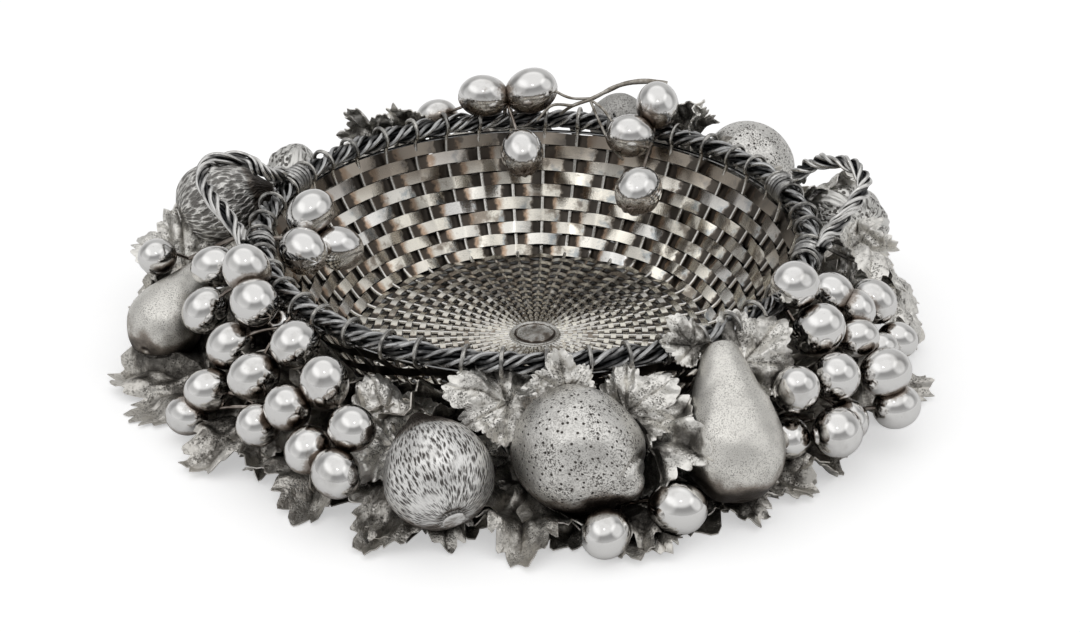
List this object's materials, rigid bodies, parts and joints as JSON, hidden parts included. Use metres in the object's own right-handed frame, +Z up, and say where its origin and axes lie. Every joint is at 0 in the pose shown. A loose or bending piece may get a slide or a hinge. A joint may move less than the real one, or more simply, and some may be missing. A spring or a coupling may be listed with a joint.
{
  "type": "centerpiece basket",
  "caption": "Round woven silver centrepiece basket with a rope rim, rope handles and a garland of fruit, grapes and vine leaves.",
  "frame": {"origin": "middle of the base's flat underside, on the basket's axis", "axes": "+Z up along the basket's axis, -Y to the front, where the large lemon is, +X to the right, along the line from handle to handle"},
  "size_m": [0.4304, 0.4212, 0.1021],
  "materials": {
    "silver_strip": "polished flat strip with brown tarnish at the crossings",
    "silver_wire": "oxidised wire, pale where it is rubbed",
    "silver_grape": "mirror-polished with tarnish on the undersides",
    "silver_satin": "fine stippled satin",
    "silver_pitted": "satin with dark pores",
    "silver_chased": "chased with dark strokes, bright between them",
    "silver_leaf": "oxidised sheet with chased veins and rubbed edges"
  },
  "bodies": {
    "root": {"centre_foot": "silver_wire", "centre_plate": "silver_satin", "fig_back": "silver_chased", "fig_front": "silver_chased", "fig_left": "silver_chased", "floor_weave": "silver_strip", "foot_hoop": "silver_wire", "grapes_back": "silver_grape", "grapes_back_right": "silver_grape", "grapes_front": "silver_grape", "grapes_inside_left": "silver_grape", "grapes_left_front": "silver_grape", "grapes_left_low": "silver_grape", "grapes_left_middle": "silver_grape", "grapes_left_top": "silver_grape", "grapes_right_front": "silver_grape", "grapes_right_low": "silver_grape", "grapes_right_middle": "silver_grape", "grapes_right_top": "silver_grape", "handle_left": "silver_wire", "handle_left_lashing_back": "silver_wire", "handle_left_lashing_front": "silver_wire", "handle_right": "silver_wire", "handle_right_lashing_back": "silver_wire", "handle_right_lashing_front": "silver_wire", "leaf_back_left": "silver_leaf", "leaf_back_middle": "silver_leaf", "leaf_back_right": "silver_leaf", "leaf_behind_left": "silver_leaf", "leaf_beside_fig": "silver_leaf", "leaf_front": "silver_leaf", "leaf_front_left": "silver_leaf", "leaf_handle_right": "silver_leaf", "leaf_left": "silver_leaf", "leaf_left_low": "silver_leaf", "leaf_lemon_low": "silver_leaf", "leaf_lemon_right": "silver_leaf", "leaf_pear_right": "silver_leaf", "leaf_pear_rim": "silver_leaf", "leaf_right": "silver_leaf", "leaf_right_front": "silver_leaf", "leaf_right_tip": "silver_leaf", "leaf_rim_left": "silver_leaf", "leaf_rim_middle": "silver_leaf", "leaf_rim_right": "silver_leaf", "leaf_under_fig": "silver_leaf", "leaf_under_grapes": "silver_leaf", "leaf_under_pear": "silver_leaf", "lemon_back": "silver_pitted", "lemon_front": "silver_pitted", "pear_back": "silver_satin", "pear_front": "silver_satin", "pear_left": "silver_satin", "quince_back": "silver_chased", "rim_rope": "silver_wire", "stake_frame": "silver_wire", "top_hoop": "silver_wire", "wall_weave": "silver_strip", "walnut_left": "silver_chased", "walnut_right": "silver_chased"}
  },
  "joints": []
}
